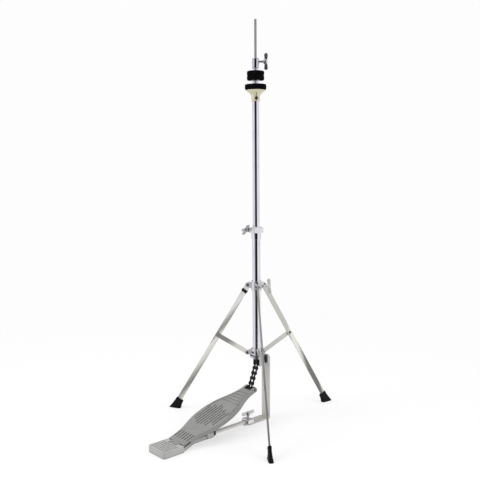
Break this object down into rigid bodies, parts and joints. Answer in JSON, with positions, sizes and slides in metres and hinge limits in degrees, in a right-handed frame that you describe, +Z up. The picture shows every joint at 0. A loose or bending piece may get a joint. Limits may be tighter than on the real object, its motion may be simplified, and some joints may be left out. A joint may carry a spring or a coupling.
{
  "type": "hi-hat stand",
  "caption": "Folding tripod stand with a footboard pedal whose chain pulls a sprung rod through a telescoping tube, for a pair of hi-hat cymbals.",
  "frame": {"origin": "on the floor, on the axis of the tubes and the pull rod", "axes": "+Z up along the tubes; -Y towards the heel plate, +Y towards the frame's upright; +X to the right of a player who faces +Y"},
  "size_m": [0.4341, 0.5513, 0.967],
  "materials": {
    "chrome": "polished chrome plate",
    "plated_steel": "zinc-plated, cast wings",
    "satin_bar": "satin plated flat bar",
    "dark_fastener": "dull dark plated",
    "spring_steel": "oiled spring wire",
    "felt": "pressed wool felt",
    "ivory_plastic": "moulded, slightly glossy",
    "nylon": "natural nylon",
    "rubber": "moulded matt rubber",
    "black_plastic": "moulded",
    "cast_grey": "grey paint on cast aluminium, matt",
    "black_steel": "black oxide, oiled"
  },
  "bodies": {
    "stand": {"lower_tube": "chrome", "height_sleeve": "chrome", "tube_bush": "nylon", "height_clamp": "chrome", "height_bolt": "plated_steel", "guide_bush": "nylon", "return_spring": "spring_steel", "strut_bracket": "chrome", "bracket_rivets": "dark_fastener", "bracket_screw": "dark_fastener", "frame_head": "plated_steel", "frame_bar": "satin_bar", "frame_bolts": "dark_fastener", "base_clamp": "chrome", "radius_bar": "satin_bar", "bar_bush": "black_plastic", "heel_plate": "cast_grey", "heel_pin": "dark_fastener"},
    "upper_section": {"upper_tube": "chrome", "seat_cup": "ivory_plastic", "seat_screw": "dark_fastener", "seat_felt": "felt"},
    "clutch": {"clutch_body": "chrome", "clutch_washers": "chrome", "clutch_felt_upper": "felt", "clutch_felt_lower": "felt", "clutch_nut": "chrome"},
    "clutch_screw": {"clutch_wing_bolt": "plated_steel"},
    "height_nut": {"height_wing_nut": "plated_steel"},
    "pull_rod": {"upper_rod": "plated_steel", "lower_rod": "plated_steel", "spring_collar": "plated_steel", "collar_pin": "dark_fastener", "chain_clevis": "black_steel", "clevis_pin": "black_steel"},
    "chain": {"chain_inner_links": "black_steel", "chain_outer_links": "black_steel", "chain_rollers": "black_steel"},
    "pedal": {"footboard": "cast_grey", "toe_pin": "dark_fastener", "toe_clip": "black_steel"},
    "collar": {"leg_collar": "chrome", "collar_rivets": "dark_fastener"},
    "collar_screw": {"leg_wing_bolt": "plated_steel"},
    "base_screw": {"base_wing_bolt": "plated_steel"},
    "leg_right_body": {"leg_right": "satin_bar", "foot_right": "rubber", "knee_rivet_right": "dark_fastener"},
    "strut_right_body": {"strut_right": "satin_bar"},
    "leg_rear_body": {"leg_rear": "satin_bar", "foot_rear": "rubber", "knee_rivet_rear": "dark_fastener"},
    "strut_rear_body": {"strut_rear": "satin_bar"},
    "leg_left_body": {"leg_left": "satin_bar", "foot_left": "rubber", "knee_rivet_left": "dark_fastener", "leg_band": "black_plastic"},
    "strut_left_body": {"strut_left": "satin_bar"}
  },
  "joints": [
    {"name": "pedal_hinge", "type": "hinge", "parent": "stand", "child": "pedal", "pos_m": [0, -0.2525, 0.009], "axis": [-1, 0, 0], "range_deg": [0, 10.2]},
    {"name": "rod_pull", "type": "slide", "parent": "stand", "child": "pull_rod", "axis": [0, 0, -1], "range_m": [0, 0.0386], "stiffness_N_per_m": 600, "springref_m": -0.06, "deforming": ["return_spring"]},
    {"name": "chain_swing", "type": "hinge", "parent": "pull_rod", "child": "chain", "pos_m": [0, 0, 0.14634], "axis": [1, 0, 0], "range_deg": [0, 10.4]},
    {"name": "height_slide", "type": "slide", "parent": "stand", "child": "upper_section", "axis": [0, 0, 1], "range_m": [-0.13, 0]},
    {"name": "clutch_slide", "type": "slide", "parent": "upper_section", "child": "clutch", "axis": [0, 0, 1], "range_m": [0, 0.05]},
    {"name": "clutch_screw_turn", "type": "hinge", "parent": "clutch", "child": "clutch_screw", "pos_m": [0, 0, 0.87], "axis": [0.6691, 0.7431, 0], "range_deg": [0, 270]},
    {"name": "height_nut_turn", "type": "hinge", "parent": "stand", "child": "height_nut", "pos_m": [-0.01484, 0.00448, 0.4745], "axis": [-0.289, -0.9573, 0], "range_deg": [0, 270]},
    {"name": "collar_slide", "type": "slide", "parent": "stand", "child": "collar", "axis": [0, 0, 1], "range_m": [0, 0.07465]},
    {"name": "collar_screw_turn", "type": "hinge", "parent": "collar", "child": "collar_screw", "pos_m": [0, 0, 0.3395], "axis": [0.915, 0.4035, 0], "range_deg": [0, 270]},
    {"name": "base_screw_turn", "type": "hinge", "parent": "stand", "child": "base_screw", "pos_m": [0, -0.03, 0], "axis": [0, 0, 1], "range_deg": [0, 270]},
    {"name": "leg_right_fold", "type": "hinge", "parent": "collar", "child": "leg_right_body", "pos_m": [0.01775, -0.01299, 0.3395], "axis": [0.5906, 0.807, 0], "range_deg": [0, 25.1]},
    {"name": "strut_right_fold", "type": "hinge", "parent": "stand", "child": "strut_right_body", "pos_m": [0.01824, -0.01335, 0.1716], "axis": [-0.5906, -0.807, 0], "range_deg": [0, 54.75]},
    {"name": "leg_rear_fold", "type": "hinge", "parent": "collar", "child": "leg_rear_body", "pos_m": [0.00238, 0.02187, 0.3395], "axis": [-0.9942, 0.108, 0], "range_deg": [0, 25.1]},
    {"name": "strut_rear_fold", "type": "hinge", "parent": "stand", "child": "strut_rear_body", "pos_m": [0.00244, 0.02247, 0.1716], "axis": [0.9942, -0.108, 0], "range_deg": [0, 54.75]},
    {"name": "leg_left_fold", "type": "hinge", "parent": "collar", "child": "leg_left_body", "pos_m": [-0.02013, -0.00888, 0.3395], "axis": [0.4035, -0.915, 0], "range_deg": [0, 25.1]},
    {"name": "strut_left_fold", "type": "hinge", "parent": "stand", "child": "strut_left_body", "pos_m": [-0.02068, -0.00912, 0.1716], "axis": [-0.4035, 0.915, 0], "range_deg": [0, 54.75]}
  ],
  "couplings": [
    {"joint": "rod_pull", "follows": "pedal_hinge", "m_per_rad": 0.21582},
    {"joint": "chain_swing", "follows": "pedal_hinge", "ratio": 1.0033},
    {"joint": "leg_right_fold", "follows": "collar_slide", "rad_per_m": 5.8594},
    {"joint": "strut_right_fold", "follows": "collar_slide", "rad_per_m": 12.784},
    {"joint": "leg_rear_fold", "follows": "collar_slide", "rad_per_m": 5.8594},
    {"joint": "strut_rear_fold", "follows": "collar_slide", "rad_per_m": 12.784},
    {"joint": "leg_left_fold", "follows": "collar_slide", "rad_per_m": 5.8594},
    {"joint": "strut_left_fold", "follows": "collar_slide", "rad_per_m": 12.784}
  ]
}
